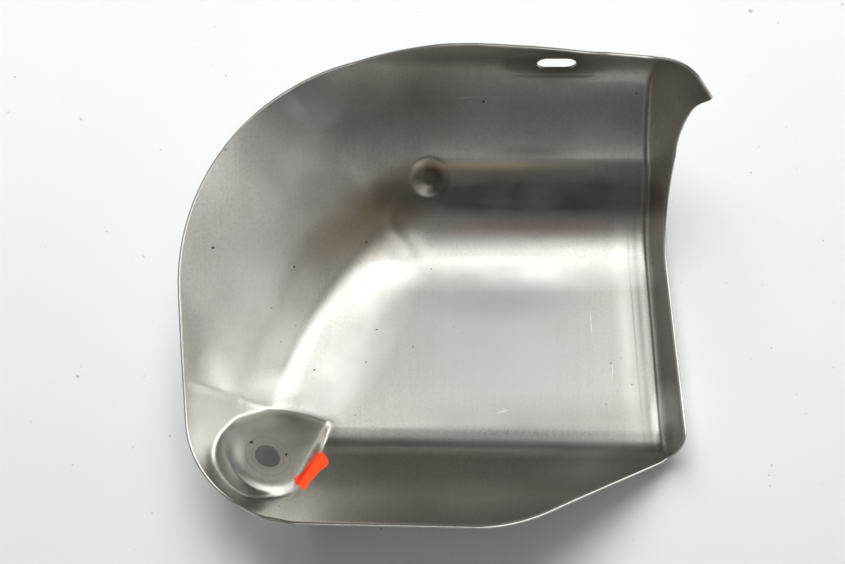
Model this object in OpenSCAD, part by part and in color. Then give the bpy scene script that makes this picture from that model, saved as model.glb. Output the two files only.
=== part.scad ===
// Pressed exhaust heat shield: one deep pan of stainless sheet, open side up.
// Millimetres. X runs along the half-pipe of the pan, Y across it, Z is up.
// The flat bottom of the pan lies on the table at z = 0.

/* [Sheet] */
// Sheet thickness
sheet_t = 0.9; // [0.7:0.1:1.2]
// Pan length between the left rim and the bend of the right flange, widest chord
pan_l = 147.4; // [144:0.5:150]
// Pan width between the bottom rim and the top rim
pan_w = 146.2; // [145.2:0.5:149.2]

/* [Pan floor] */
// Distance from the middle of the pan to the line where the top wall starts to curve up
floor_top = 3.2; // [2:0.2:5]
// Distance from the middle of the pan down to the left end of the bottom fold
floor_left_y = 45.7; // [44.7:0.5:46.7]
// Distance from the middle of the pan to the left end of the flat floor
floor_left_x = 44; // [42:0.5:46]

/* [Walls] */
// Slope of the step at the foot of the top wall, degrees
step_slope = 38; // [36:1:40]
// Slope just behind the crease that ends the step, degrees
crease_slope = 24; // [21:1:27]
// Plan distance from the floor to the crease
crease_run = 39; // [37.5:0.5:40.5]
// Height of the top rim above the floor
top_rise = 50; // [47:0.5:53]
// Height of the left rim above the floor
left_rise = 32; // [30:0.5:34]
// Height of the bottom rim above the floor
bottom_rise = 38.5; // [37:0.5:40]
// Slope of the bottom wall, degrees
bottom_slope = 60; // [57:1:62]

/* [Right flange] */
// Slope of the right flange, degrees
flange_slope = 67; // [63:1:69]
// Distance from the middle of the pan to the flange bend, at half width
bend_x = 69.1; // [68.5:0.1:70]

/* [Mounting boss] */
// Bolt hole through the boss
bolt_hole_d = 8.5; // [8:0.1:9]
// Height of the middle of the boss pad above the floor
boss_h = 19; // [18:0.2:20]
// Slope of the boss pad, degrees
boss_slope = 48; // [46:1:50]
// Radius of the flat pad round the bolt hole
boss_flat_r = 9.2; // [8.8:0.2:10]

/* [Slot pad] */
// Length of the slot
slot_l = 12; // [10:0.5:13]
// Width of the slot
slot_w = 6; // [5.6:0.1:6.4]
// Length of the pressed pad round the slot
slot_pad_l = 33; // [31:0.5:35]
// Height of the pressed pad, measured along the wall
slot_pad_w = 16.6; // [15.6:0.5:17.6]
// How far the pad stands in from the wall
slot_pad_in = 0.4; // [0.2:0.1:0.7]

/* [Dimple] */
// Outer diameter of the dimple
dimple_d = 13.4; // [12:0.2:15]
// Depth of the dimple
dimple_depth = 2.8; // [2.2:0.2:3.4]

/* [Hidden] */
$fn = 48;

steel = [0.72, 0.71, 0.68];
left_x = -pan_l / 2 - 6;
right_x = pan_l / 2 + 6.5;
half_w = pan_w / 2;
edge_steps = 14;

// Trim line in plan, counter-clockwise from the lower left: corner x, y and its rounding.
// The wing tip is the sharp corner at upper right.
trim_corners = [
  [left_x + 2.3, 6.4 - half_w, 31],
  [left_x + 35.1, 1.3 - half_w, 16.7],
  [right_x - 56.1, 0.3 - half_w, 80],
  [right_x + 0.9, 18.6 - half_w, 10.8],
  [right_x - 7.4, 22, 240],
  [right_x - 6.7, half_w - 25, 27],
  [right_x - 3.8, half_w - 18.1, 3.6],
  [right_x + 0.1, half_w - 17.2, 0.5],
  [right_x - 8, half_w - 4.2, 17],
  [-4.4, half_w + 0.7, 120],
  [left_x - 1.7, half_w - 19.7, 68.5]
];

function unit(v) = v / norm(v);
function clamp(t, a, b) = min(max(t, a), b);
function ease(t) = let (c = clamp(t, 0, 1)) c * c * (3 - 2 * c);
function turn(a) = a > 180 ? a - 360 : a < -180 ? a + 360 : a;

// One rounded corner: an arc tangent to the two straight runs that meet there.
function corner_arc(a, p, b, r) =
  let (
    da = unit(a - p),
    db = unit(b - p),
    half = acos(clamp(da * db, -1, 1)) / 2,
    c = p + unit(da + db) * r / sin(half),
    s = p + da * r / tan(half) - c,
    e = p + db * r / tan(half) - c,
    a0 = atan2(s.y, s.x),
    sweep = turn(atan2(e.y, e.x) - a0)
  )
  [for (i = [0:edge_steps]) c + r * [cos(a0 + sweep * i / edge_steps), sin(a0 + sweep * i / edge_steps)]];

function flat2(p) = [p.x, p.y];
corner_n = len(trim_corners);
trim = [
  for (k = [0:corner_n - 1])
    each corner_arc(
      flat2(trim_corners[(k + corner_n - 1) % corner_n]),
      flat2(trim_corners[k]),
      flat2(trim_corners[(k + 1) % corner_n]),
      trim_corners[k].z
    )
];
trim_n = len(trim);

function run_sum(k, s = 0, out = []) =
  k > trim_n ? out : run_sum(k + 1, s + norm(trim[(k + 1) % trim_n] - trim[k % trim_n]), concat(out, [s]));
runs = run_sum(0);
trim_len = runs[trim_n];
trim_xs = [for (k = [0:trim_n]) [runs[k], trim[k % trim_n].x]];
trim_ys = [for (k = [0:trim_n]) [runs[k], trim[k % trim_n].y]];
function on_trim(s) =
  let (w = s - trim_len * floor(s / trim_len))
  [lookup(w, trim_xs), lookup(w, trim_ys)];
function mid_run(k) = runs[(edge_steps + 1) * k + edge_steps / 2];

// The four corners of the sheet that the grid starts from.
run_ll = mid_run(0);
run_lr = mid_run(3);
run_ur = mid_run(8);
run_ul = mid_run(10);
corner_ll = on_trim(run_ll);
corner_lr = on_trim(run_lr);
corner_ur = on_trim(run_ur);
corner_ul = on_trim(run_ul);

function along(a, b, t) = on_trim(a + (b - a) * t);

// Plan position of a grid point, with u from left to right and v from bottom to top.
function plan(u, v) =
  (1 - v) * along(run_ll, run_lr, u) + v * along(run_ul, run_ur, u)
  + (1 - u) * along(run_ll + trim_len, run_ul, v) + u * along(run_lr, run_ur, v)
  - (1 - u) * (1 - v) * corner_ll - u * (1 - v) * corner_lr
  - (1 - u) * v * corner_ul - u * v * corner_ur;

// Flat floor, counter-clockwise; it runs on past the right flange.
floor_pts = [
  [-2, floor_top],
  [2 - floor_left_x, -floor_left_y],
  [200, -floor_left_y - 3.5],
  [200, floor_top]
];

// Walls by direction from the floor, degrees: distance and slope at the end of four curves,
// and rise of the rim.
wall_keys = [
  [90, 25, step_slope - 1, crease_run - 3.5, step_slope, crease_run, crease_slope, 60, 46, top_rise],
  [115, 20, 28, 28, 36, 38, 28, 52, 38, top_rise - 6],
  [140, 14, 12, 21, 38, 29, 39, 34, 34, left_rise + 5],
  [160, 9, 14, 16, 38, 19, 39, 22, 42, left_rise + 1],
  [200, 8, 28, 18, 40, 21, 43, 24, 46, left_rise],
  [225, 8, 32, 16, 46, 19, 48, 22, 50, left_rise + 1],
  [245, 9, bottom_slope - 8, 13, bottom_slope - 2, 16, bottom_slope, 19, bottom_slope, bottom_rise - 1],
  [270, 9, bottom_slope, 13, bottom_slope, 16, bottom_slope, 19, bottom_slope, bottom_rise]
];
// Wall numbers in a direction, along smooth curves through the rows.
straight_rows = [0, len(wall_keys) - 1];
function trend(k) =
  len(search(k, straight_rows)) > 0
  ? 0 * wall_keys[k]
  : (wall_keys[k + 1] - wall_keys[k - 1]) / (wall_keys[k + 1][0] - wall_keys[k - 1][0]);
function wall_at(a) =
  let (
    c = clamp(a, 90, 269.99),
    k = [for (i = [0:len(wall_keys) - 2]) if (c >= wall_keys[i][0] && c < wall_keys[i + 1][0]) i][0],
    span = wall_keys[k + 1][0] - wall_keys[k][0],
    t = (c - wall_keys[k][0]) / span,
    s = 1 - t
  )
  wall_keys[k] * (1 + 2 * t) * s * s
  + wall_keys[k + 1] * t * t * (3 - 2 * t)
  + trend(k) * span * t * s * s
  - trend(k + 1) * span * t * t * s;

// Rise of a circular arc that starts at one slope and ends at another over a plan span.
function arc_rise(x, span, s0, s1) =
  let (
    a = sin(s0),
    b = sin(s1),
    c = clamp(x, 0, span),
    s = a + (b - a) * c / span
  )
  abs(b - a) < 0.0001 ? c * tan(s0) : span / (b - a) * (sqrt(1 - a * a) - sqrt(1 - s * s));

// Distance from a floor edge point to the rim, in a given direction.
side_x = left_x + 0.2;
top_lean = 0.0675;
top_left_r = 76;
low_left_r = 33;
top_left_c = [side_x + top_left_r, half_w - top_left_r];
low_left_c = [side_x + low_left_r, low_left_r + 0.4 - half_w];
function to_circle(q, d, c, r) =
  let (
    m = q - c,
    h = d * m
  )
  sqrt(max(h * h - m * m + r * r, 0)) - h;
function reach(q, a) =
  let (
    d = [cos(a), sin(a)],
    side = d.x < -0.0001 ? (side_x - q.x) / d.x : 1000,
    top = d.y > 0.0001 ? (half_w - top_lean * max(q.x - 8, 0) - q.y) / d.y : 1000,
    low = d.y < -0.0001 ? (0.4 - half_w - q.y) / d.y : 1000,
    t = min(side, top, low),
    h = q + t * d
  )
  h.x < top_left_c.x && h.y > top_left_c.y ? to_circle(q, d, top_left_c, top_left_r)
  : h.x < low_left_c.x && h.y < low_left_c.y ? to_circle(q, d, low_left_c, low_left_r)
  : t;

function key_d(w, k) = k == 0 ? 0 : w[2 * k - 1];
function key_s(w, k) = k == 0 ? 0 : w[2 * k];
function curves_rise(d, w, k = 1) =
  k > 4 ? 0
  : arc_rise(d - key_d(w, k - 1), key_d(w, k) - key_d(w, k - 1), key_s(w, k - 1), key_s(w, k))
    + curves_rise(d, w, k + 1);
function wall_rise(d, w, far) =
  let (
    end = max(far, w[7] + 6),
    last = clamp(2 * atan((w[9] - curves_rise(w[7], w)) / (end - w[7])) - w[8], 10, 80)
  )
  curves_rise(d, w)
  + arc_rise(d - w[7], end - w[7], w[8], last)
  + max(d - end, 0) * tan(last);

// The left side of the floor is a shallow arc; its other sides are straight.
left_turn = 28;
left_chord = floor_pts[1] - floor_pts[0];
left_r = norm(left_chord) / 2 / sin(left_turn / 2);
left_in = unit([-left_chord.y, left_chord.x]);
left_c = (floor_pts[0] + floor_pts[1]) / 2 + left_in * left_r * cos(left_turn / 2);
function bearing(v) = let (a = atan2(v.y, v.x)) a < -60 ? a + 360 : a;
left_from = bearing(floor_pts[0] - left_c);
left_to = bearing(floor_pts[1] - left_c);
function arc_near(p) =
  let (a = clamp(bearing(p - left_c), left_from, left_to))
  left_c + left_r * [cos(a), sin(a)];
function edge_near(p, a, b) = a + clamp((p - a) * (b - a) / ((b - a) * (b - a)), 0, 1) * (b - a);
function floor_near(p) =
  let (
    q = [arc_near(p), for (k = [1:3]) edge_near(p, floor_pts[k], floor_pts[(k + 1) % 4])],
    d = [for (k = [0:3]) norm(p - q[k])],
    m = min(d)
  )
  d[0] == m ? q[0] : d[1] == m ? q[1] : d[2] == m ? q[2] : q[3];
function left_of(p, a, b) = (b.x - a.x) * (p.y - a.y) - (b.y - a.y) * (p.x - a.x);
function on_floor(p) =
  min([for (k = [1:3]) left_of(p, floor_pts[k], floor_pts[(k + 1) % 4])]) >= 0
  && (left_of(p, floor_pts[0], floor_pts[1]) >= 0 || norm(p - left_c) <= left_r);
function pan_z(p) =
  on_floor(p) ? 0
  : let (
      q = floor_near(p),
      raw = atan2(p.y - q.y, p.x - q.x),
      a = raw < 0 ? raw + 360 : raw
    )
    wall_rise(norm(p - q), wall_at(a), reach(q, a));

// Right flange: a tight bend along a slightly leaning line, then a steep wall that eases off high up.
function flange_z(p) =
  let (d = p.x - bend_x + 0.0847 * p.y)
  d <= 0 ? 0
  : arc_rise(d, 2.6, 0, flange_slope)
    + arc_rise(d - 2.6, 5.4, flange_slope, flange_slope - 2)
    + arc_rise(d - 8, 14, flange_slope - 2, flange_slope - 11);

// Round dimple pushed outwards at the corner of the crease.
dimple_c = [-2.6, 36];
function dimple_z(p) = -dimple_depth * ease((dimple_d / 2 - norm(p - dimple_c)) / (dimple_d / 2 - 1.8));

// A sloping plane: middle point, height there, slope and the direction it faces.
function tilted(p, c, z, slope, way) = z - tan(slope) * ((p - c) * [cos(way), sin(way)]);
function soft_max(a, b, k) =
  let (h = clamp(0.5 + 0.5 * (a - b) / k, 0, 1))
  b * (1 - h) + a * h + k * h * (1 - h);
function soft_min(a, b, k) = -soft_max(-a, -b, k);

// Boss pressed into the lower left corner: a flat pad with steeper flanks round it.
boss_c = [-54.2, -53.4];
boss_way = 61;
function boss_z(p) =
  let (
    pad = tilted(p, boss_c, boss_h, boss_slope, boss_way),
    q = p - boss_c,
    down = q * [cos(boss_way), sin(boss_way)] / cos(boss_slope),
    across = q * [-sin(boss_way), cos(boss_way)],
    out = max(norm([min(down, 0), across]) - boss_flat_r, 0),
    skirt = pad - arc_rise(out, 6, 0, 54) - max(out - 6, 0) * tan(54),
    top_face = pad - max(q.y - 7.4, -3) * 0.7,
    right_face = tilted(p, boss_c + [12.6, -0.9], boss_h - 5.3, 74, -8)
  )
  soft_min(soft_min(skirt, top_face, 1.4), right_face, 2.4);

// Flat pad pressed in round the slot on the top wall.
slot_slope = 67;
slot_c = [36, half_w - 4.7];
slot_z = pan_z(slot_c) + slot_pad_in / cos(slot_slope);
function slot_pad_share(p) =
  let (
    q = p - slot_c,
    side = max(abs(q.x) - (slot_pad_l - slot_pad_w) / 2, 0)
  )
  ease((slot_pad_w / 2 - norm([side, q.y / cos(slot_slope)])) / 3.5);

// Inner face of the sheet.
function inner_z(p) =
  let (
    pan = pan_z(p) + dimple_z(p),
    rim_side = ease(0.5 - (p - boss_c) * [cos(boss_way), sin(boss_way)] / 16),
    boss = norm(p - boss_c) < 30 ? soft_max(pan, boss_z(p), 2.2 + 2.6 * rim_side) : pan,
    share = slot_pad_share(p)
  )
  sheet_t + boss * (1 - share) + tilted(p, slot_c, slot_z, slot_slope, -90) * share + flange_z(p);

function inner_pt(p) = [p.x, p.y, inner_z(p)];
probe = 0.05;
function facing(p) =
  unit([
    inner_z(p - [probe, 0]) - inner_z(p + [probe, 0]),
    inner_z(p - [0, probe]) - inner_z(p + [0, probe]),
    2 * probe
  ]);

// Grid over the sheet; lines lie closer together at the boss, the bend, the fold and the slot pad.
grid_u = 54;
grid_v = 44;
u_lines = [
  [0, 0], [19, 0.28], [24, 0.43], [32, 0.53], [36, 0.63],
  [45, 0.83], [48, 0.9], [52, 0.96], [54, 1]
];
tip_v = (mid_run(7) - run_lr) / (run_ur - run_lr);
v_lines = [[0, 0], [14, 0.26], [17, 0.46], [22, 0.68], [29, 0.79], [33, tip_v], [44, 1]];
grid = [
  for (j = [0:grid_v])
    for (i = [0:grid_u])
      plan(lookup(i, u_lines), lookup(j, v_lines))
];
row = grid_u + 1;
count = row * (grid_v + 1);
inner = [for (p = grid) inner_pt(p)];
outer = [for (k = [0:count - 1]) inner[k] - sheet_t * facing(grid[k])];

function inner_face(i, j) =
  let (k = j * row + i)
  (i < grid_u / 2) == (j < grid_v / 2)
  ? [[k, k + row, k + row + 1], [k, k + row + 1, k + 1]]
  : [[k, k + row, k + 1], [k + 1, k + row, k + row + 1]];
function flip(f) = [f[0] + count, f[2] + count, f[1] + count];
rim = concat(
  [for (i = [0:grid_u - 1]) i],
  [for (j = [0:grid_v - 1]) j * row + grid_u],
  [for (i = [0:grid_u - 1]) grid_v * row + grid_u - i],
  [for (j = [0:grid_v - 1]) (grid_v - j) * row]
);
rim_n = len(rim);
skin = [for (j = [0:grid_v - 1]) for (i = [0:grid_u - 1]) each inner_face(i, j)];
edge = [
  for (k = [0:rim_n - 1])
    let (
      a = rim[k],
      b = rim[(k + 1) % rim_n]
    )
    each [[a, b, b + count], [a, b + count, a + count]]
];

module sheet() {
  polyhedron(
    points = concat(inner, outer),
    faces = concat(skin, [for (f = skin) flip(f)], edge),
    convexity = 10
  );
}

// Runs a cutter square through a tilted pad.
module through_pad(c, z, slope, way) {
  translate([c.x, c.y, z])
    rotate([0, 0, way])
      rotate([0, slope, 0])
        translate([0, 0, -2.5])
          children();
}

module bolt_hole() {
  through_pad(boss_c, boss_h + sheet_t, boss_slope, boss_way)
    cylinder(h = 4, d = bolt_hole_d);
}

module slot() {
  through_pad(slot_c, slot_z + sheet_t, slot_slope, -90) {
    for (s = [-1, 1])
      translate([0, s * (slot_l - slot_w) / 2, 0])
        cylinder(h = 4, d = slot_w);
    translate([-slot_w / 2, -(slot_l - slot_w) / 2, 0])
      cube([slot_w, slot_l - slot_w, 4]);
  }
}

// Bounds of the sheet, to put the middle of its footprint at the origin.
all_pts = concat(inner, outer);
xs = [for (p = all_pts) p.x];
ys = [for (p = all_pts) p.y];
zs = [for (p = all_pts) p.z];
to_origin = [-(min(xs) + max(xs)) / 2, -(min(ys) + max(ys)) / 2, -min(zs)];

module heat_shield() {
  color(steel)
    translate(to_origin)
    difference() {
      sheet();
      bolt_hole();
      slot();
    }
}

heat_shield();
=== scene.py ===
# %% [markdown]
# An exhaust heat shield is one sheet of thin stainless steel, pressed into a deep pan that
# covers a hot casting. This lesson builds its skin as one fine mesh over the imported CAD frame,
# gives it the finish of drawn stainless sheet, and lights it like a photograph on a pale table.
# The camera looks straight down, so nearly all of the picture is what the metal reflects.

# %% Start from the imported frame
import math

import bpy
import mathutils
import numpy as np
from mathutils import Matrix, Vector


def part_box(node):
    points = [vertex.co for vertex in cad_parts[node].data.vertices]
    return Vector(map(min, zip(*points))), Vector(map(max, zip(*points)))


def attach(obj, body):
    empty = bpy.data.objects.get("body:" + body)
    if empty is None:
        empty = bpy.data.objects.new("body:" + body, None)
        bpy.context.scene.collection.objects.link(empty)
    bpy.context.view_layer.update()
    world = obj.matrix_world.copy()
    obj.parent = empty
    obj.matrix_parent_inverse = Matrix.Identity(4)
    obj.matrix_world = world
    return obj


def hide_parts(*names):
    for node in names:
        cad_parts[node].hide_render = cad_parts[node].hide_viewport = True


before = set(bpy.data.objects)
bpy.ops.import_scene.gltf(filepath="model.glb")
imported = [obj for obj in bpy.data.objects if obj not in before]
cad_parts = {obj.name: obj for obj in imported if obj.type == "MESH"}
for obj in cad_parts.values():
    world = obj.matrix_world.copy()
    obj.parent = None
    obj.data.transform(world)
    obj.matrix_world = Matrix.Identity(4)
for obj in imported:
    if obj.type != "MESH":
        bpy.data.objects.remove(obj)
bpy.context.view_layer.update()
node_low, node_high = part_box("heat_shield")

# %% [markdown]
# The camera stands 480 mm above the table, straight over the pan, with a lens of about 61 mm.
# That is the photograph's viewing angle: the high rims spread outwards a little, and the near
# side of every steep wall is seen. Depth of field stays off.

# %% Place the camera
MM = 0.001
EYE_HEIGHT = 480.0
EYE_AT = (-5.121, 2.105)
SENSOR = 36.0
PICTURE_WIDTH_PX, EYE_DISTANCE_PX = 845.0, 1440.0
camera_data = bpy.data.cameras.new("camera")
camera_data.sensor_width = SENSOR
camera_data.lens = EYE_DISTANCE_PX / PICTURE_WIDTH_PX * SENSOR
camera = bpy.data.objects.new("camera", camera_data)
camera.location = (EYE_AT[0] * MM, EYE_AT[1] * MM, EYE_HEIGHT * MM)
bpy.context.scene.collection.objects.link(camera)
bpy.context.scene.camera = camera
bpy.context.scene.view_settings.view_transform = "Standard"
print("camera", round(camera_data.lens, 2), "mm lens at", EYE_HEIGHT, "mm")

# %% [markdown]
# After pressing, the pan is cut to shape along a trim line: straight runs joined by arcs. It
# could be drawn as a curve object, but the same line is needed as plain numbers for the sheet,
# so a helper turns each corner and its radius into points. Sizes are in millimetres.

# %% Draw the trim line
SHEET = 0.9
PAN_LENGTH, PAN_WIDTH = 147.4, 146.2
LEFT_EXTRA, RIGHT_EXTRA = 6.0, 6.5
LEFT = -PAN_LENGTH / 2 - LEFT_EXTRA
RIGHT = PAN_LENGTH / 2 + RIGHT_EXTRA
HALF = PAN_WIDTH / 2
TO_ORIGIN = np.array([-0.376885, -0.0877891, 0.0])
ARC_STEPS = 40

# Each corner is x, y and radius, counter-clockwise from the lower left.
CORNERS = [
    (LEFT + 2.3, 6.4 - HALF, 31), (LEFT + 35.1, 1.3 - HALF, 16.7), (RIGHT - 56.1, 0.3 - HALF, 80),
    (RIGHT + 0.9, 18.6 - HALF, 10.8), (RIGHT - 7.4, 22, 240), (RIGHT - 6.7, HALF - 25, 27),
    (RIGHT - 3.8, HALF - 18.1, 3.6), (RIGHT + 0.1, HALF - 17.2, 0.5), (RIGHT - 8, HALF - 4.2, 17),
    (-4.4, HALF + 0.7, 120), (LEFT - 1.7, HALF - 19.7, 68.5),
]


def trim_points(corners):
    """Points along the trim line, counter-clockwise from the lower left corner."""
    points = []
    for k, (x, y, r) in enumerate(corners):
        here = np.array([x, y])
        back = np.array(corners[k - 1][:2]) - here
        on = np.array(corners[(k + 1) % len(corners)][:2]) - here
        back, on = back / np.linalg.norm(back), on / np.linalg.norm(on)
        half = math.acos(np.clip(back @ on, -1, 1)) / 2
        middle = here + (back + on) / np.linalg.norm(back + on) * r / math.sin(half)
        first = here + back * r / math.tan(half) - middle
        last = here + on * r / math.tan(half) - middle
        start = math.atan2(first[1], first[0])
        sweep = (math.atan2(last[1], last[0]) - start + math.pi) % (2 * math.pi) - math.pi
        turn = start + sweep * np.linspace(0, 1, ARC_STEPS + 1)
        points.append(middle + r * np.stack([np.cos(turn), np.sin(turn)], -1))
    return np.concatenate(points)


TRIM = trim_points(CORNERS)
LOOP = np.vstack([TRIM, TRIM[:1]])
RUN = np.concatenate([[0], np.cumsum(np.linalg.norm(np.diff(LOOP, axis=0), axis=1))])
print("trim line", round(RUN[-1], 1), "mm long from", len(TRIM), "points")

# %% [markdown]
# The sheet needs a mesh whose edge is exactly the cut edge. Four corners of the trim line
# split it into bottom, right, top and left, and a grid is stretched between those four sides.
# This is a Coons patch, and it keeps every border point on the trim line.

# %% Stretch a grid over the trim line


def on_trim(distance):
    """Points on the trim line at distances along it."""
    d = np.mod(distance, RUN[-1])
    return np.stack([np.interp(d, RUN, LOOP[:, 0]), np.interp(d, RUN, LOOP[:, 1])], -1)


def middle_of(k):
    """Distance along the trim line to the middle of a corner's arc."""
    return RUN[(ARC_STEPS + 1) * k + ARC_STEPS // 2]


LOW_LEFT, LOW_RIGHT, UP_RIGHT, UP_LEFT = (middle_of(k) for k in (0, 3, 8, 10))


def plan(u, v):
    """Plan position for u from left to right and v from bottom to top."""
    bottom = on_trim(LOW_LEFT + (LOW_RIGHT - LOW_LEFT) * u)
    top = on_trim(UP_LEFT + (UP_RIGHT - UP_LEFT) * u)
    left = on_trim(LOW_LEFT + RUN[-1] + (UP_LEFT - LOW_LEFT - RUN[-1]) * v)
    right = on_trim(LOW_RIGHT + (UP_RIGHT - LOW_RIGHT) * v)
    corner = [on_trim(np.array(d)) for d in (LOW_LEFT, LOW_RIGHT, UP_LEFT, UP_RIGHT)]
    u, v = u[..., None], v[..., None]
    sides = (1 - v) * bottom + v * top + (1 - u) * left + u * right
    return sides - ((1 - u) * (1 - v) * corner[0] + u * (1 - v) * corner[1]
                    + (1 - u) * v * corner[2] + u * v * corner[3])


print("middle of the grid:", np.round(plan(np.array(0.5), np.array(0.5)), 1))

# %% [markdown]
# The walls grow out of the flat floor, whose left side is a shallow arc. In every direction the
# section is four tangent curves and a last one, which is chosen so that the rim ends at its
# height. The table gives them for eight directions, and smooth curves join the rows, so one
# table holds the half-pipe at the top, the dish on the left and the steep wall at the bottom.

# %% Write down the floor and the walls
FLOOR = np.array([[-2, 3.2], [-42, -45.7], [200, -49.2], [200, 3.2]], float)
LEFT_TURN = 28.0
LEFT_CHORD = FLOOR[1] - FLOOR[0]
LEFT_R = float(np.linalg.norm(LEFT_CHORD)) / 2 / math.sin(math.radians(LEFT_TURN / 2))
LEFT_IN = np.array([-LEFT_CHORD[1], LEFT_CHORD[0]]) / np.linalg.norm(LEFT_CHORD)
LEFT_C = (FLOOR[0] + FLOOR[1]) / 2 + LEFT_IN * LEFT_R * math.cos(math.radians(LEFT_TURN / 2))
LEFT_FROM, LEFT_TO = (math.degrees(math.atan2(*(q - LEFT_C)[::-1])) for q in FLOOR[:2])

# A row is four pairs of distance from the floor and slope in degrees, then the rise to the rim.
WALL_TURN = np.array([90, 115, 140, 160, 200, 225, 245, 270], float)
WALLS = np.array([
    [25, 37, 35.5, 38, 39, 24, 60, 46, 50.0], [20, 28, 28, 36, 38, 28, 52, 38, 44],
    [14, 12, 21, 38, 29, 39, 34, 34, 37], [9, 14, 16, 38, 19, 39, 22, 42, 33],
    [8, 28, 18, 40, 21, 43, 24, 46, 32], [8, 32, 16, 46, 19, 48, 22, 50, 33],
    [9, 52, 13, 58, 16, 60, 19, 60, 37.5], [9, 60, 13, 60, 16, 60, 19, 60, 38.5]], float)
WALL_TREND = np.zeros_like(WALLS)
for k in range(1, len(WALLS) - 1):
    WALL_TREND[k] = (WALLS[k + 1] - WALLS[k - 1]) / (WALL_TURN[k + 1] - WALL_TURN[k - 1])


def wall_at(turn):
    """Wall numbers in a direction, along smooth curves through the table's rows."""
    turn = np.clip(turn, WALL_TURN[0], WALL_TURN[-1] - 0.01)
    k = np.clip(np.searchsorted(WALL_TURN, turn, side="right") - 1, 0, len(WALL_TURN) - 2)
    span = (WALL_TURN[k + 1] - WALL_TURN[k])[..., None]
    t = (turn[..., None] - WALL_TURN[k][..., None]) / span
    return (WALLS[k] * (1 + 2 * t) * (1 - t) ** 2 + WALLS[k + 1] * t * t * (3 - 2 * t)
            + WALL_TREND[k] * span * t * (1 - t) ** 2 - WALL_TREND[k + 1] * span * t * t * (1 - t))


print("left side of the floor: radius", round(LEFT_R, 1), "mm")
print("rise to the rim at 180 degrees:", round(float(wall_at(np.array(180.0))[8]), 1), "mm")

# %% [markdown]
# A press bends sheet over rounded tools, so a wall's section is a run of arcs. One function
# gives the rise of an arc that turns from one slope to the next, and another one strings five
# of them together out to the rim.

# %% Bend a wall's section
LAST_RUN_AT_LEAST = 6.0
LAST_SLOPES = (10, 80)


def arc_rise(x, span, slope_in, slope_out):
    """Rise of an arc that turns from one slope to another over a plan span."""
    a, b = np.sin(np.radians(slope_in)), np.sin(np.radians(slope_out))
    span = np.maximum(span, 1e-6)
    c = np.clip(x, 0, span)
    s = a + (b - a) * c / span
    even = np.abs(b - a) < 1e-4
    radius = span / np.where(even, 1, b - a)
    return np.where(even, c * np.tan(np.radians(slope_in)),
                    radius * (np.sqrt(1 - a * a) - np.sqrt(1 - s * s)))


def wall_rise(d, w, far):
    """Rise of the wall at a distance from the floor, for wall numbers and a rim distance."""
    z, done, at, slope = 0, 0, 0, 0
    for k in range(4):
        stop, next_slope = w[..., 2 * k], w[..., 2 * k + 1]
        z = z + arc_rise(d - at, stop - at, slope, next_slope)
        done = done + arc_rise(stop - at, stop - at, slope, next_slope)
        at, slope = stop, next_slope
    end = np.maximum(far, at + LAST_RUN_AT_LEAST)
    last = 2 * np.degrees(np.arctan((w[..., 8] - done) / (end - at))) - slope
    last = np.clip(last, *LAST_SLOPES)
    return (z + arc_rise(d - at, end - at, slope, last)
            + np.maximum(d - end, 0) * np.tan(np.radians(last)))


print("a 60 degree bend over 9 mm rises", round(float(arc_rise(9.0, 9.0, 0, 60)), 2), "mm")

# %% [markdown]
# Each wall ends where the sheet's rim is, and the rim follows the left side, the leaning top
# side, the bottom side and two round corners. The distance to the rim in a direction is the
# nearest crossing with one of those.

# %% Reach from the floor to the rim
SIDE_X = LEFT + 0.2
LOW_RIM_Y = 0.4 - HALF
TOP_LEAN, TOP_LEAN_FROM = 0.0675, 8.0
TOP_LEFT_R, LOW_LEFT_R = 76.0, 33.0
TOP_LEFT_C = np.array([SIDE_X + TOP_LEFT_R, HALF - TOP_LEFT_R])
LOW_LEFT_C = np.array([SIDE_X + LOW_LEFT_R, LOW_RIM_Y + LOW_LEFT_R])
NEVER = 1000.0
LEVEL = 1e-4


def to_circle(start, way, middle, r):
    """Distance from a point inside a circle to the circle."""
    m = start - middle
    h = (way * m).sum(-1)
    return np.sqrt(np.maximum(h * h - (m * m).sum(-1) + r * r, 0)) - h


def reach(start, turn):
    """Plan distance from the floor's edge to the rim in a direction."""
    way = np.stack([np.cos(np.radians(turn)), np.sin(np.radians(turn))], -1)
    x, y = way[..., 0], way[..., 1]
    side = np.where(x < -LEVEL, (SIDE_X - start[..., 0]) / np.minimum(x, -LEVEL), NEVER)
    rim_y = HALF - TOP_LEAN * np.maximum(start[..., 0] - TOP_LEAN_FROM, 0)
    top = np.where(y > LEVEL, (rim_y - start[..., 1]) / np.maximum(y, LEVEL), NEVER)
    low = np.where(y < -LEVEL, (LOW_RIM_Y - start[..., 1]) / np.minimum(y, -LEVEL), NEVER)
    t = np.minimum(np.minimum(side, top), low)
    hit = start + t[..., None] * way
    up = (hit[..., 0] < TOP_LEFT_C[0]) & (hit[..., 1] > TOP_LEFT_C[1])
    down = (hit[..., 0] < LOW_LEFT_C[0]) & (hit[..., 1] < LOW_LEFT_C[1])
    t = np.where(up, to_circle(start, way, TOP_LEFT_C, TOP_LEFT_R), t)
    return np.where(down, to_circle(start, way, LOW_LEFT_C, LOW_LEFT_R), t)


print("floor to left rim:", round(float(reach(FLOOR[0], np.array(180.0))), 1), "mm")

# %% [markdown]
# The pan itself is the flat floor and the wall over the nearest point of the floor's edge. For
# each point, the nearest foot is looked for on the left arc and on the three straight sides.

# %% Raise the pan
FIRST_TURN = -60


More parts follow.
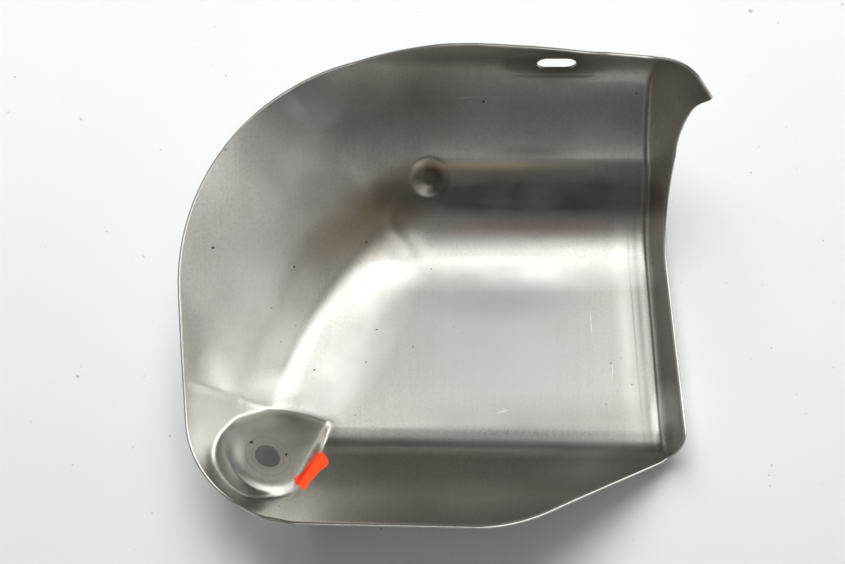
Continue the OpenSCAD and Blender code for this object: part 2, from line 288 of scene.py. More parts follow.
def pan_z(p):
    """Height of the pan's inner face above its floor."""
    from_c = p - LEFT_C
    turn = np.degrees(np.arctan2(from_c[..., 1], from_c[..., 0]))
    turn = np.where(turn < FIRST_TURN, turn + 360, turn)
    turn = np.radians(np.clip(turn, LEFT_FROM, LEFT_TO))
    foot = LEFT_C + LEFT_R * np.stack([np.cos(turn), np.sin(turn)], -1)
    near = np.linalg.norm(p - foot, axis=-1)
    from_chord = p - FLOOR[0]
    past_chord = LEFT_CHORD[0] * from_chord[..., 1] - LEFT_CHORD[1] * from_chord[..., 0] >= 0
    inside = past_chord | (np.linalg.norm(from_c, axis=-1) <= LEFT_R)
    for a, b in zip(FLOOR[1:], np.roll(FLOOR, -1, axis=0)[1:]):
        e = b - a
        q = a + np.clip((p - a) @ e / (e @ e), 0, 1)[..., None] * e
        d = np.linalg.norm(p - q, axis=-1)
        inside &= e[0] * (p[..., 1] - a[1]) - e[1] * (p[..., 0] - a[0]) >= 0
        foot = np.where((d < near)[..., None], q, foot)
        near = np.minimum(near, d)
    turn = np.degrees(np.arctan2(p[..., 1] - foot[..., 1], p[..., 0] - foot[..., 0]))
    turn = np.where(turn < 0, turn + 360, turn)
    return np.where(inside, 0, wall_rise(near, wall_at(turn), reach(foot, turn)))


print("pan height at the top rim:", round(float(pan_z(np.array([[0.0, HALF]]))[0]), 1), "mm")

# %% [markdown]
# Two simple forms are pressed into the pan. The flange on the right is turned up by a tight
# bend and then opens slowly, and the round dimple sits at the corner of the crease. Neither
# meets the boss, so both are simply added to the pan's height.

# %% Shape the flange and the dimple
BEND_X, BEND_TILT = 69.1, 0.0847
FLANGE_ARCS = [(2.6, 67), (5.4, 65), (14.0, 56)]
DIMPLE_C, DIMPLE_D, DIMPLE_DEPTH, DIMPLE_FLAT_R = np.array([-2.6, 36.0]), 13.4, 2.8, 1.8


def ease(t):
    """A soft step from 0 to 1."""
    t = np.clip(t, 0, 1)
    return t * t * (3 - 2 * t)


def flange_z(p):
    """Rise of the flange: arcs with their plan spans and the slopes they end at."""
    d = p[..., 0] - BEND_X + BEND_TILT * p[..., 1]
    rise, slope = 0, 0
    for span, next_slope in FLANGE_ARCS:
        rise = rise + arc_rise(d, span, slope, next_slope)
        d, slope = d - span, next_slope
    return rise


def dimple_z(p):
    """Depth of the dimple, as a height below the pan."""
    r = np.linalg.norm(p - DIMPLE_C, axis=-1)
    return -DIMPLE_DEPTH * ease((DIMPLE_D / 2 - r) / (DIMPLE_D / 2 - DIMPLE_FLAT_R))


print("flange rises", round(float(flange_z(np.array([[RIGHT, 0.0]]))[0]), 1), "mm at its edge")

# %% [markdown]
# The mounting boss in the lower left corner has a tilted flat face for the screw's washer. A
# skirt falls away behind it, and two steep faces cut it off towards the dish and towards the
# floor. A soft minimum joins the faces the way a press leaves a small radius between them.

# %% Shape the boss
BOSS_C, BOSS_H, BOSS_SLOPE, BOSS_WAY, BOSS_FLAT = np.array([-54.2, -53.4]), 19.0, 48.0, 61.0, 9.2
SKIRT_ARC, SKIRT_SLOPE = 6.0, 54.0
TOP_FACE_Y, TOP_FACE_FALL, TOP_FACE_RUN = 7.4, 0.7, 3.0
SIDE_FACE_AT, SIDE_FACE_H, SIDE_FACE_SLOPE, SIDE_FACE_WAY = np.array([12.6, -0.9]), 13.7, 74, -8
TOP_SOFT, SIDE_SOFT = 1.4, 2.4


def direction(turn):
    """Unit vector in plan for an angle in degrees."""
    return np.array([math.cos(math.radians(turn)), math.sin(math.radians(turn))])


def tilted(p, middle, height, slope, turn):
    """Height of a plane through a point that falls in a direction."""
    return height - math.tan(math.radians(slope)) * ((p - middle) @ direction(turn))


def soft_max(a, b, k):
    """The higher of two heights, with a rounded change-over."""
    h = np.clip(0.5 + 0.5 * (a - b) / k, 0, 1)
    return b * (1 - h) + a * h + k * h * (1 - h)


def boss_z(p):
    """Height of the boss: its face, its skirt and the two faces that cut it off."""
    pad = tilted(p, BOSS_C, BOSS_H, BOSS_SLOPE, BOSS_WAY)
    q = p - BOSS_C
    down = q @ direction(BOSS_WAY) / math.cos(math.radians(BOSS_SLOPE))
    across = q @ direction(BOSS_WAY + 90)
    out = np.maximum(np.hypot(np.minimum(down, 0), across) - BOSS_FLAT, 0)
    past_arc = np.maximum(out - SKIRT_ARC, 0) * math.tan(math.radians(SKIRT_SLOPE))
    skirt = pad - arc_rise(out, SKIRT_ARC, 0, SKIRT_SLOPE) - past_arc
    top_face = pad - np.maximum(q[..., 1] - TOP_FACE_Y, -TOP_FACE_RUN) * TOP_FACE_FALL
    side_face = tilted(p, BOSS_C + SIDE_FACE_AT, SIDE_FACE_H, SIDE_FACE_SLOPE, SIDE_FACE_WAY)
    cut_top = -soft_max(-skirt, -top_face, TOP_SOFT)
    return -soft_max(-cut_top, -side_face, SIDE_SOFT)


print("boss face stands", round(float(boss_z(BOSS_C[None])[0]), 1), "mm high at the bolt hole")

# %% [markdown]
# Below the top rim, the wall is pressed flat round the slot, so that a screw head can seat on
# it and be shifted along the slot. The flat pad fades into the wall round it. With that, the
# whole inner face is one height rule, which everything else in the lesson can ask.

# %% Shape the slotted pad and join all the forms
SLOT_SLOPE, SLOT_PAD_L, SLOT_PAD_W, SLOT_PAD_IN, SLOT_PAD_SOFT = 67.0, 33.0, 16.6, 0.4, 3.5
SLOT_C = np.array([36.0, HALF - 4.7])
SLOT_Z = float(pan_z(SLOT_C[None])[0]) + SLOT_PAD_IN / math.cos(math.radians(SLOT_SLOPE))
BOSS_NEAR = 30.0
BOSS_SOFT, BOSS_RIM_SOFT, BOSS_SOFT_SPAN = 2.2, 2.6, 16.0


def slot_pad_share(p):
    """How far the wall has become the flat pad: 1 on the pad, 0 on the wall round it."""
    q = p - SLOT_C
    up = q[..., 1] / math.cos(math.radians(SLOT_SLOPE))
    side = np.maximum(np.abs(q[..., 0]) - (SLOT_PAD_L - SLOT_PAD_W) / 2, 0)
    return ease((SLOT_PAD_W / 2 - np.hypot(side, up)) / SLOT_PAD_SOFT)


def inner_z(p):
    """Height of the shield's inner face above the table."""
    z = pan_z(p) + dimple_z(p)
    from_boss = p - BOSS_C
    rim_side = ease(0.5 - from_boss @ direction(BOSS_WAY) / BOSS_SOFT_SPAN)
    with_boss = soft_max(z, boss_z(p), BOSS_SOFT + BOSS_RIM_SOFT * rim_side)
    z = np.where(np.linalg.norm(from_boss, axis=-1) < BOSS_NEAR, with_boss, z)
    share = slot_pad_share(p)
    z = z * (1 - share) + tilted(p, SLOT_C, SLOT_Z, SLOT_SLOPE, -90) * share
    return SHEET + z + flange_z(p)


print("slot pad stands", round(SLOT_Z, 1), "mm above the floor")

# %% [markdown]
# The skin is the inner face and the outer face one sheet thickness behind it, along the
# surface's own normal. A Solidify modifier could do the same, but a rule for both faces keeps
# the thickness true on steep walls. The grid's lines lie closer together over the boss, the
# dimple, the bend and the slotted pad, where the sheet is drawn most tightly.

# %% Work out the inner and the outer face
GRID_U, GRID_V = 222, 206
TIP_V = (middle_of(7) - LOW_RIGHT) / (UP_RIGHT - LOW_RIGHT)
TIP_LINE = 160
STEP = 0.05


def graded(n, stops):
    """Grid values from 0 to 1, closer together where the stops say so."""
    at, value = zip(*stops)
    return np.interp(np.linspace(0, 1, n + 1), at, value)


def facing(p):
    """Unit normals of the inner face at plan positions."""
    along_x = inner_z(p - [STEP, 0]) - inner_z(p + [STEP, 0])
    along_y = inner_z(p - [0, STEP]) - inner_z(p + [0, STEP])
    n = np.stack([along_x, along_y, np.full_like(along_x, 2 * STEP)], -1)
    return n / np.linalg.norm(n, axis=-1, keepdims=True)


u_lines = graded(GRID_U, [(0, 0), (0.36, 0.28), (0.44, 0.42), (0.56, 0.52), (0.86, 0.9), (1, 1)])
v_lines = graded(GRID_V, [(0, 0), (0.32, 0.26), (0.5, 0.66), (0.68, 0.79),
                          (TIP_LINE / GRID_V, TIP_V), (1, 1)])
uu, vv = np.meshgrid(u_lines, v_lines, indexing="ij")
flat = plan(uu, vv)
normal = facing(flat)
inner = np.concatenate([flat, inner_z(flat)[..., None]], -1)
outer = inner - SHEET * normal
print("inner face", inner.shape[:2], "points, top at", round(float(inner[..., 2].max()), 2), "mm")

# %% [markdown]
# A cut edge that has been deburred is a little round, and that roundness catches the bright
# line seen along the whole rim. So the two faces are joined by four narrow strips of faces
# that swell outwards, and the mesh closes without a stray face.

# %% Close the edge and build the sheet
ROUND = (0.25, 0.5, 0.75)
EDGE_SWELL = 0.22


def border(grid):
    """The grid's outer loop, counter-clockwise."""
    return np.concatenate([grid[:-1, 0], grid[-1, :-1], grid[:0:-1, -1], grid[0, :0:-1]])


def mesh_from(name, points_mm, face_list):
    """A mesh object at the origin from points in millimetres."""
    mesh = bpy.data.meshes.new(name)
    mesh.from_pydata((np.asarray(points_mm) * MM).tolist(), [], [list(map(int, f)) for f in face_list])
    mesh.update()
    made = bpy.data.objects.new(name, mesh)
    bpy.context.scene.collection.objects.link(made)
    return made


count = inner.shape[0] * inner.shape[1]
number = np.arange(count).reshape(inner.shape[:2])
quad = np.stack([number[:-1, :-1], number[1:, :-1], number[1:, 1:], number[:-1, 1:]], -1).reshape(-1, 4)
ring_in, ring_out = border(inner), border(outer)
ring_id = border(number)
n_ring = len(ring_id)
away = np.cross(np.roll(ring_in, -1, axis=0) - np.roll(ring_in, 1, axis=0), border(normal))
away /= np.linalg.norm(away, axis=1, keepdims=True)
edge_rows = []
for t in ROUND:
    edge_rows.append(ring_in * (1 - t) + ring_out * t + away * EDGE_SWELL * math.sin(math.pi * t))
points = np.concatenate([inner.reshape(-1, 3), outer.reshape(-1, 3)] + edge_rows) + TO_ORIGIN
points = np.clip(points, np.array(node_low) / MM, np.array(node_high) / MM)
edge_ids = [2 * count + k * n_ring + np.arange(n_ring) for k in range(len(ROUND))]
rows = [ring_id] + edge_ids + [ring_id + count]
faces = [quad, quad[:, ::-1] + count]
for a, b in zip(rows[:-1], rows[1:]):
    faces.append(np.stack([a, b, np.roll(b, -1), np.roll(a, -1)], -1))
sheet = mesh_from("pressed_sheet", points, np.concatenate(faces))
print("pressed sheet:", len(points), "points", len(sheet.data.polygons), "faces")

# %% [markdown]
# The bolt hole and the slot are punched square through their pads, so each is a cutter that
# stands along its pad's normal. The exact boolean keeps the pad flat right up to the hole, and
# new_from_object turns the result into a plain mesh. Smooth shading stops at the cut edges.

# %% Punch the bolt hole and the slot
BOLT_HOLE_D = 8.5
SLOT_LENGTH, SLOT_WIDTH = 12.0, 6.0
HOLE_STEPS = 64
PUNCH_BELOW, PUNCH_ABOVE = 2.5, 1.5
SHARP_EDGE = 58


def stadium(length, width):
    """Outline of a round-ended slot that lies along the first axis."""
    turn = np.linspace(0, 2 * math.pi, HOLE_STEPS, endpoint=False)
    x, y = np.cos(turn) * width / 2, np.sin(turn) * width / 2
    return np.stack([x + np.sign(np.round(x, 6)) * (length - width) / 2, y], -1)


def punch(name, outline, middle, across, up, out):
    """A prism through the sheet at a pad."""
    base = [middle + across * x + up * y for x, y in outline]
    low, high = [p - out * PUNCH_BELOW for p in base], [p + out * PUNCH_ABOVE for p in base]
    n = len(base)
    sides = [[k, (k + 1) % n, n + (k + 1) % n, n + k] for k in range(n)]
    return mesh_from(name, low + high, sides + [list(range(n))[::-1], list(range(n, 2 * n))])


def pad_axes(slope, turn):
    """Across, up and out of a pad that falls in a direction."""
    s, flat_way = math.radians(slope), np.append(direction(turn), 0)
    out = flat_way * math.sin(s) + np.array([0, 0, math.cos(s)])
    across = np.append(direction(turn - 90), 0)
    return across, np.cross(out, across), out


boss_mid = np.append(BOSS_C, BOSS_H + SHEET) + TO_ORIGIN
slot_mid = np.append(SLOT_C, SLOT_Z + SHEET) + TO_ORIGIN
punches = [
    punch("bolt_punch", stadium(BOLT_HOLE_D, BOLT_HOLE_D), boss_mid, *pad_axes(BOSS_SLOPE, BOSS_WAY)),
    punch("slot_punch", stadium(SLOT_LENGTH, SLOT_WIDTH), slot_mid, *pad_axes(SLOT_SLOPE, -90)),
]
for cutter in punches:
    cut = sheet.modifiers.new("cut", "BOOLEAN")
    cut.operation, cut.solver, cut.object = "DIFFERENCE", "EXACT", cutter
bpy.context.view_layer.update()
result = bpy.data.meshes.new_from_object(sheet.evaluated_get(bpy.context.evaluated_depsgraph_get()))
sheet.modifiers.clear()
sheet.data = result
for cutter in punches:
    bpy.data.objects.remove(cutter)
for polygon in sheet.data.polygons:
    polygon.use_smooth = True
sheet.data.set_sharp_from_angle(angle=math.radians(SHARP_EDGE))
print("punched sheet:", len(sheet.data.polygons), "faces")

# %% [markdown]
# Colours are written as the sRGB hex a painter would pick. One function turns them to the
# linear values that shaders add up in, and one small function adds a node with its settings
# and links, so a material reads as a list of what each node does.

# %% Helpers for materials


def tone(hex_code):
    """sRGB hex to linear RGBA."""
    parts = [int(hex_code[k:k + 2], 16) / 255 for k in (1, 3, 5)]
    return tuple(c / 12.92 if c <= 0.04045 else ((c + 0.055) / 1.055) ** 2.4 for c in parts) + (1.0,)


def add(tree, kind, settings=None, **links):
    """One node: settings are attributes or socket values, links are sockets fed by others."""
    node = tree.nodes.new(kind)
    for key, value in (settings or {}).items():
        if isinstance(key, str) and hasattr(node, key) and key not in node.inputs:
            setattr(node, key, value)
        else:
            node.inputs[key].default_value = value
    for key, source in links.items():
        index = int(key[1:]) if key[0] == "i" and key[1:].isdigit() else key.replace("_", " ")
        tree.links.new(source, node.inputs[index])
    return node


def new_material(name):
    """An empty material and its node tree."""
    material = bpy.data.materials.new(name)
    material.use_nodes = True
    material.node_tree.nodes.clear()
    return material, material.node_tree


def per_metre(size_mm):
    """The scale that makes a noise pattern's features a size in millimetres."""
    return 1000.0 / size_mm


print("mid grey #808080 is", round(tone("#808080")[0], 3), "in linear light")

# %% [markdown]
# Marks on a part lie at places, so they need masks that know where they are. A spherical
# gradient in a Mapping node gives a soft patch of any size and turn, at the height that the
# sheet has there, and a distance gives a ring. Then one function lays colours over each other.

# %% Masks for marks on the sheet


def patch(tree, where, at, half, turn=0.0, strength=1.0):
    """Mask that is strongest at a place on the sheet and fades to 0 at its half sizes."""
    height = float(inner_z(np.array([at]) - TO_ORIGIN[:2])[0])
    place = add(tree, "ShaderNodeMapping", {
        "vector_type": "TEXTURE", "Location": [c * MM for c in (*at, height)],
        "Scale": [c * MM for c in half], "Rotation": (0, 0, math.radians(turn))}, Vector=where)
    soft = add(tree, "ShaderNodeTexGradient", {"gradient_type": "SPHERICAL"},
               Vector=place.outputs["Vector"]).outputs["Fac"]
    return add(tree, "ShaderNodeMath", {"operation": "MULTIPLY", "use_clamp": True, 1: strength},
               i0=soft).outputs["Value"]


def ring(tree, where, at, radius, wide):
    """Mask that is 1 at a distance from a point and fades to 0 on both sides of it."""
    far = add(tree, "ShaderNodeVectorMath", {"operation": "DISTANCE", 1: [c * MM for c in at]},
              i0=where).outputs["Value"]
    off = add(tree, "ShaderNodeMath", {"operation": "SUBTRACT", 1: radius * MM}, i0=far).outputs["Value"]
    off = add(tree, "ShaderNodeMath", {"operation": "ABSOLUTE"}, i0=off).outputs["Value"]
    fade = {"From Min": 0.0, "From Max": wide * MM, "To Min": 1.0, "To Max": 0.0}
    return add(tree, "ShaderNodeMapRange", fade, Value=off).outputs["Result"]


def lay_over(tree, colour, *layers):
    """A colour with others laid over it in turn, each given as its mask and its hex code."""
    for mask, hex_code in layers:
        mix = add(tree, "ShaderNodeMix", {"data_type": "RGBA", 7: tone(hex_code)}, i0=mask, i6=colour)
        colour = mix.outputs[2]
    return colour


print("the boss face lies", round(float(boss_mid[2]), 1), "mm up, where its marks are placed")

# %% [markdown]
# The sheet is austenitic stainless, cold rolled and then drawn. Bare steel is all reflection:
# its colour is a warm grey, and its look comes from roughness. Rolling leaves a fine grain and
# longer streaks along one direction, and drawing leaves a soft haze and a sandy mottle. Real
# grain is finer than a pixel, so it is drawn as coarse as it needs to be to show.

# %% Stainless sheet: grain, streaks, haze and mottle
GRAIN_MM = (0.667, 16.67, 3.333)
STREAK_MM = (2.381, 71.43, 16.67)
HAZE_MM, MOTTLE_MM = 22.22, 0.909
steel, tree = new_material("drawn_stainless_sheet")
where = add(tree, "ShaderNodeTexCoord").outputs["Object"]
rolled = {}
for name, sizes, detail, breakup in (("grain", GRAIN_MM, 3.0, 0.6), ("streak", STREAK_MM, 4.0, 0.65)):
    stretched = add(tree, "ShaderNodeMapping", {"Scale": [per_metre(s) for s in sizes]}, Vector=where)
    rolled[name] = add(tree, "ShaderNodeTexNoise", {"Scale": 1.0, "Detail": detail, "Roughness": breakup},
                       Vector=stretched.outputs["Vector"]).outputs["Fac"]
haze = add(tree, "ShaderNodeTexNoise", {"Scale": per_metre(HAZE_MM), "Detail": 3.0, "Roughness": 0.5},
           Vector=where).outputs["Fac"]
mottle = add(tree, "ShaderNodeTexNoise", {"Scale": per_metre(MOTTLE_MM), "Detail": 3.0, "Roughness": 0.7},
             Vector=where).outputs["Fac"]
base = add(tree, "ShaderNodeMix", {"data_type": "RGBA", 6: tone("#B9B8B1"), 7: tone("#C4C3BC")},
           i0=rolled["streak"]).outputs[2]
sand = add(tree, "ShaderNodeMapRange", {"From Min": 0.42, "From Max": 0.68, "To Min": 0.0, "To Max": 0.42},
           Value=mottle).outputs["Result"]
lines = add(tree, "ShaderNodeMapRange", {"From Min": 0.45, "From Max": 0.70, "To Min": 0.0, "To Max": 0.22},
            Value=rolled["grain"]).outputs["Result"]
base = lay_over(tree, base, (sand, "#9E9D97"), (lines, "#A3A29C"))
print("bare sheet:", len(tree.nodes), "nodes, grain", GRAIN_MM[0], "mm wide")

# %% [markdown]
# A shield that has been hot shows it: steel turns straw, then brown and dull red. The dark band along
# the step, the darker dimple and the dark patches on the boss face are painted shade, and the light and
# dark tones on the floor, the walls, the flange's bend and the slotted pad are painted highlights and
# painted shade. The haze breaks these tints up, so that none ends in a clean edge.

# %% Stainless sheet: heat tints, painted highlights and painted shade
# Each tint is its place, half sizes and turn, then its strength and its colour.
# Painted shade: the dark band along the step at (36, 30), the darker dimple at (-3, 35.8), the dark patches
# on the boss face at (-50, -46.2) and (-53, -52), and the darker tone that dims the boss's crest at (-36.3,
# -46.2). The rest are heat tints.
HEAT_TINTS_AND_PAINTED_SHADE = [
    ((19, 39.6), (36, 2.0, 9), 0, 1.4, "#F0E3C6"), ((17, 37.0), (38, 2.8, 9), 0, 0.7, "#A8957A"),
    ((-24, 23), (34, 15, 26), 36, 0.9, "#A38C68"), ((-14, 27), (15, 12, 18), 0, 0.7, "#94805F"),
    ((34, 20.2), (46, 4.4, 10), 0, 0.8, "#A07C73"), ((36, 30.0), (84, 8.8, 16), 0, 1.9, "#736F6B"),
    ((-3, 35.8), (8.2, 8.2, 8), 0, 1.8, "#66625B"), ((-50, -46.2), (17, 8.4, 15), 0, 2.8, "#6F706D"),
    ((-53, -52), (16, 13, 18), 0, 1.8, "#8F8E88"), ((-36.3, -46.2), (4.5, 6, 12), 0, 1.6, "#8A8478"),
    ((-5, 58), (18, 16, 22), 0, 0.9, "#8F897E"),
]
# Painted highlight and painted shade: a light line and two dark lines along the flange's bend, and a darker
# slotted pad.
PAINTED_BEND_LIGHT_AND_PAD_SHADE = [
    ((62.3, -12), (4, 66, 8), 4.8, 1.0, "#DAD8D2"), ((67.2, -8), (1.3, 76, 8), 4.8, 1.0, "#8B8984"),
    ((64.9, -8), (0.5, 60, 6), 4.8, 0.9, "#93918C"), ((20, 69.4), (52, 3.4, 8), -1.5, 1.3, "#807D78"),
]
# Painted highlights and painted shade on the floor: a broad cooler, darker tone over most of it, light
# patches that widen the bright diagonal and the band along the step, and dark patches below the band and
# along the bottom fold.
FLOOR_PAINTED_LIGHT_AND_SHADE = [
    ((20, -20), (60, 50, 8), 0, 1.1, "#B8BBB8"), ((-26, -18), (12, 42, 14), -28, 1.0, "#EDEDE8"),
    ((24, 4.6), (76, 6.6, 7), 0, 1.1, "#EEEEE9"), ((22, -4.5), (34, 8, 8), 0, 0.9, "#A2A3A0"),
    ((40, -44), (66, 10, 9), 0, 0.7, "#94938E"),
]
# Painted highlights and painted shade on the walls: light patches over the left dish, round the boss, on
# the flange's foot and on the bottom wall, and dark patches at the pinch by the floor's corner, in the dish
# near the top, on the slotted pad, in the top right corner and along a strip above the crease.
WALL_PAINTED_LIGHT_AND_SHADE = [
    ((-60, -14), (26, 44, 34), 0, 0.8, "#EDECE6"), ((-72, -38), (9, 20, 28), 0, 1.8, "#F5F4EE"),
    ((-55, -31.5), (15, 6, 12), 0, 1.3, "#F3F2EC"), ((-66.5, -51), (5, 13, 14), 14, 1.6, "#F4F3EE"),
    ((-34, -30), (9, 20, 10), -28, 0.9, "#F3F3EE"), ((-17.6, 16), (9, 8, 9), 30, 0.9, "#8F8A80"),
    ((-38, 58), (11, 10, 18), 0, 1.2, "#EFEEE8"), ((-23.5, 62.5), (9, 7, 14), 0, 0.9, "#85827B"),
    ((-45, 35), (17, 20, 26), 0, 0.7, "#DAD9D2"), ((76, -42), (6, 13, 16), 0, 2.0, "#FAF9F4"),
    ((52, -58.5), (26, 8, 14), 10, 1.2, "#E8E7E1"), ((10, -67), (62, 8, 18), 0, 0.7, "#E6E5DF"),
    ((35.6, 68.7), (20, 9, 14), 0, 1.7, "#78746E"), ((79, 60), (12, 18, 20), 0, 1.2, "#817E79"),
    ((30, 43.5), (16, 2.8, 8), 0, 0.9, "#77736C"),
]
# All four lists together: heat tints, painted highlights and painted shade.
TINTS_AND_PAINTED_LIGHT = HEAT_TINTS_AND_PAINTED_SHADE + PAINTED_BEND_LIGHT_AND_PAD_SHADE + FLOOR_PAINTED_LIGHT_AND_SHADE + WALL_PAINTED_LIGHT_AND_SHADE
BREAK_UP = {"From Min": 0.32, "From Max": 0.62, "To Min": 0.45, "To Max": 1.0}
broken = add(tree, "ShaderNodeMapRange", BREAK_UP, Value=haze).outputs["Result"]
for at, half, turn, strength, hex_code in TINTS_AND_PAINTED_LIGHT:
    part = add(tree, "ShaderNodeMath", {"operation": "MULTIPLY"}, i1=broken,
               i0=patch(tree, where, at, half, turn, strength)).outputs["Value"]
    base = lay_over(tree, base, (part, hex_code))
print(len(TINTS_AND_PAINTED_LIGHT), "tints laid over the sheet")

# %% [markdown]
# Smaller marks follow: a darker patch in the corner by the wing's bend and a darker strip where the
# bottom wall folds up, the prints of a washer round the bolt hole, scratches that show bright metal,
# a painted glint on the bolt hole's lower right edge, and specks of dirt. They are few, and each has
# its own place.

# %% Stainless sheet: darker corner and fold, washer prints, scratches, a painted glint and dirt
# Darker patches: one in the corner by the wing's bend, one along the bottom wall's fold.
DARKER_CORNER_AND_FOLD = [((76, -50.5), (4, 7, 14), -12, 1.2), ((24, -48.2), (56, 3.6, 8), 0, 0.75)]
WASHER_PRINTS = [(7.4, 0.35), (5.3, 0.3)]
WASHER_STRENGTH = 0.38
SCRATCHES_AND_GLINT = [
    ((21.6, -41.0), (2.4, 0.16, 2), 12), ((22.4, -40.2), (1.2, 0.12, 2), -20),
    # The round dot at (-52.6, -56.2), on the bolt hole's lower right edge, is a painted glint.
    ((8.2, 59.6), (3.6, 0.14, 3), 6), ((-52.6, -56.2), (0.5, 0.5, 1.2), 0),
    ((51.0, -12.0), (0.14, 5.5, 2), 4), ((58.0, -28.0), (0.12, 3.5, 2), -3),
]
SPECKS = [
    ((-59.9, -49.2), (0.7, 0.6, 1.2)), ((-49.0, -53.4), (0.5, 0.7, 1.2)),
    ((14.0, 58.5), (0.5, 0.4, 1.5)), ((-46.5, 7.0), (0.4, 0.4, 1.2)),
]
DIRT_MM = 2.381
darker_corner_and_fold_masks = [patch(tree, where, *place) for place in DARKER_CORNER_AND_FOLD]
darker_corner_and_fold = add(tree, "ShaderNodeMath", {"operation": "ADD", "use_clamp": True}, i0=darker_corner_and_fold_masks[0],
           i1=darker_corner_and_fold_masks[1]).outputs["Value"]
darker_corner_and_fold = add(tree, "ShaderNodeMath", {"operation": "MULTIPLY"}, i0=darker_corner_and_fold, i1=mottle).outputs["Value"]
prints = [ring(tree, where, boss_mid, radius, wide) for radius, wide in WASHER_PRINTS]
washer = add(tree, "ShaderNodeMath", {"operation": "ADD", "use_clamp": True}, i0=prints[0],
             i1=prints[1]).outputs["Value"]
washer = add(tree, "ShaderNodeMath", {"operation": "MULTIPLY"}, i0=washer, i1=broken).outputs["Value"]
washer = add(tree, "ShaderNodeMath", {"operation": "MULTIPLY", 1: WASHER_STRENGTH},
             i0=washer).outputs["Value"]
base = lay_over(tree, base, (darker_corner_and_fold, "#4A4844"), (washer, "#6E6C67"))
for at, half, turn in SCRATCHES_AND_GLINT:
    base = lay_over(tree, base, (patch(tree, where, at, half, turn, 1.6), "#E4E2DC"))
for at, half in SPECKS:
    base = lay_over(tree, base, (patch(tree, where, at, half, 0, 2.0), "#3E3C39"))
dirt = add(tree, "ShaderNodeTexNoise", {"Scale": per_metre(DIRT_MM), "Detail": 1.0}, Vector=where)
dirt = add(tree, "ShaderNodeMapRange", {"From Min": 0.79, "From Max": 0.84},
           Value=dirt.outputs["Fac"]).outputs["Result"]
base = lay_over(tree, base, (dirt, "#5A5752"))
print(len(SCRATCHES_AND_GLINT), "scratches and", len(SPECKS), "specks, besides the dirt")

# %% [markdown]
# Satin sheet has a roughness of about a third: it spreads a lamp into a soft band, but a wall
# still shows where the light ends. Where the press stretched the sheet most, on the boss, in
# the dimple and at the floor's corner, the surface is duller. Two bumps finish it: the grain,
# four hundredths of a millimetre deep, and the slow waves of thin sheet.

# %% Stainless sheet: roughness, bumps and the finished piece
DULL = [
    ((-53, -52), (17, 17, 20), 0.20), ((-11, 13), (8, 8, 8), 0.12),
    ((-2.6, 36), (9, 9, 9), 0.14), ((-46, -34), (14, 8, 14), 0.14),
]
DULL_STRENGTH = 1.8
MOTTLE_ROUGHNESS = 0.02
GRAIN_DEEP_MM, WAVE_DEEP_MM, WAVE_MM = 0.04, 0.6, 26.32
rough = add(tree, "ShaderNodeMapRange", {"From Min": 0.3, "From Max": 0.7, "To Min": 0.29, "To Max": 0.35},
            Value=haze).outputs["Result"]
rough = add(tree, "ShaderNodeMath", {"operation": "MULTIPLY_ADD", 1: MOTTLE_ROUGHNESS}, i0=mottle,
            i2=rough).outputs["Value"]
for at, half, more in DULL:
    rough = add(tree, "ShaderNodeMath", {"operation": "MULTIPLY_ADD", 1: more}, i2=rough,
                i0=patch(tree, where, at, half, 0, DULL_STRENGTH)).outputs["Value"]
bump = add(tree, "ShaderNodeBump", {"Strength": 0.07, "Distance": GRAIN_DEEP_MM * MM},
           Height=rolled["grain"])
wave = add(tree, "ShaderNodeTexNoise", {"Scale": per_metre(WAVE_MM), "Detail": 2.0}, Vector=where)
bump = add(tree, "ShaderNodeBump", {"Strength": 0.12, "Distance": WAVE_DEEP_MM * MM},
           Height=wave.outputs["Fac"], Normal=bump.outputs["Normal"])
surface = add(tree, "ShaderNodeBsdfPrincipled", {"Metallic": 1.0}, Base_Color=base,
              Roughness=rough, Normal=bump.outputs["Normal"])
add(tree, "ShaderNodeOutputMaterial", Surface=surface.outputs["BSDF"])
sheet.data.materials.clear()
sheet.data.materials.append(steel)
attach(sheet, "root")
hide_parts("heat_shield")
print("material", steel.name, "with", len(tree.nodes), "nodes")

# %% [markdown]
# A workshop marks a checked part with a dab of paint. It is a thin film, so it is its own
# small mesh that lies on the sheet where the boss meets the bottom wall. The brush leaves
# uneven sides and round ends, and the film thins out towards them.

# %% Paint dab
PAINT_FILM, PAINT_CLEAR = 0.05, 0.01
DAB_START, DAB_END, DAB_WIDE = (-44.4, -62.6), (-36.6, -55.0), 4.3
DAB_LONG_STEPS, DAB_WIDE_STEPS = 40, 16
DAB_NARROWEST = 0.62


def on_sheet(p, lift):
    """Points at a lift above the sheet's inner face."""
    return np.concatenate([p, inner_z(p)[..., None]], -1) + facing(p) * lift[..., None]


start, end = np.array(DAB_START), np.array(DAB_END)
stroke = end - start
sideways = np.array([-stroke[1], stroke[0]]) / np.linalg.norm(stroke)
s, t = np.meshgrid(np.linspace(0, 1, DAB_LONG_STEPS + 1), np.linspace(-1, 1, DAB_WIDE_STEPS + 1),
                   indexing="ij")
uneven = 1 + 0.10 * np.sin(7 * s + 1.2) + 0.06 * np.sin(17 * s)
ends = np.clip(1.25 - np.abs(2 * s - 1) ** 14, DAB_NARROWEST, 1)
dab = start + s[..., None] * stroke + sideways * (t * DAB_WIDE / 2 * uneven * ends)[..., None]
thinner = np.clip(1 - np.abs(t) ** 8, 0, 1) * np.clip(12 * np.minimum(s, 1 - s), 0, 1)
film = on_sheet(dab, PAINT_FILM * thinner + PAINT_CLEAR) + TO_ORIGIN
film_id = np.arange(film.shape[0] * film.shape[1]).reshape(film.shape[:2])
film_faces = np.stack([film_id[:-1, :-1], film_id[1:, :-1], film_id[1:, 1:], film_id[:-1, 1:]], -1)
paint = mesh_from("paint_dab", film.reshape(-1, 3), film_faces.reshape(-1, 4))
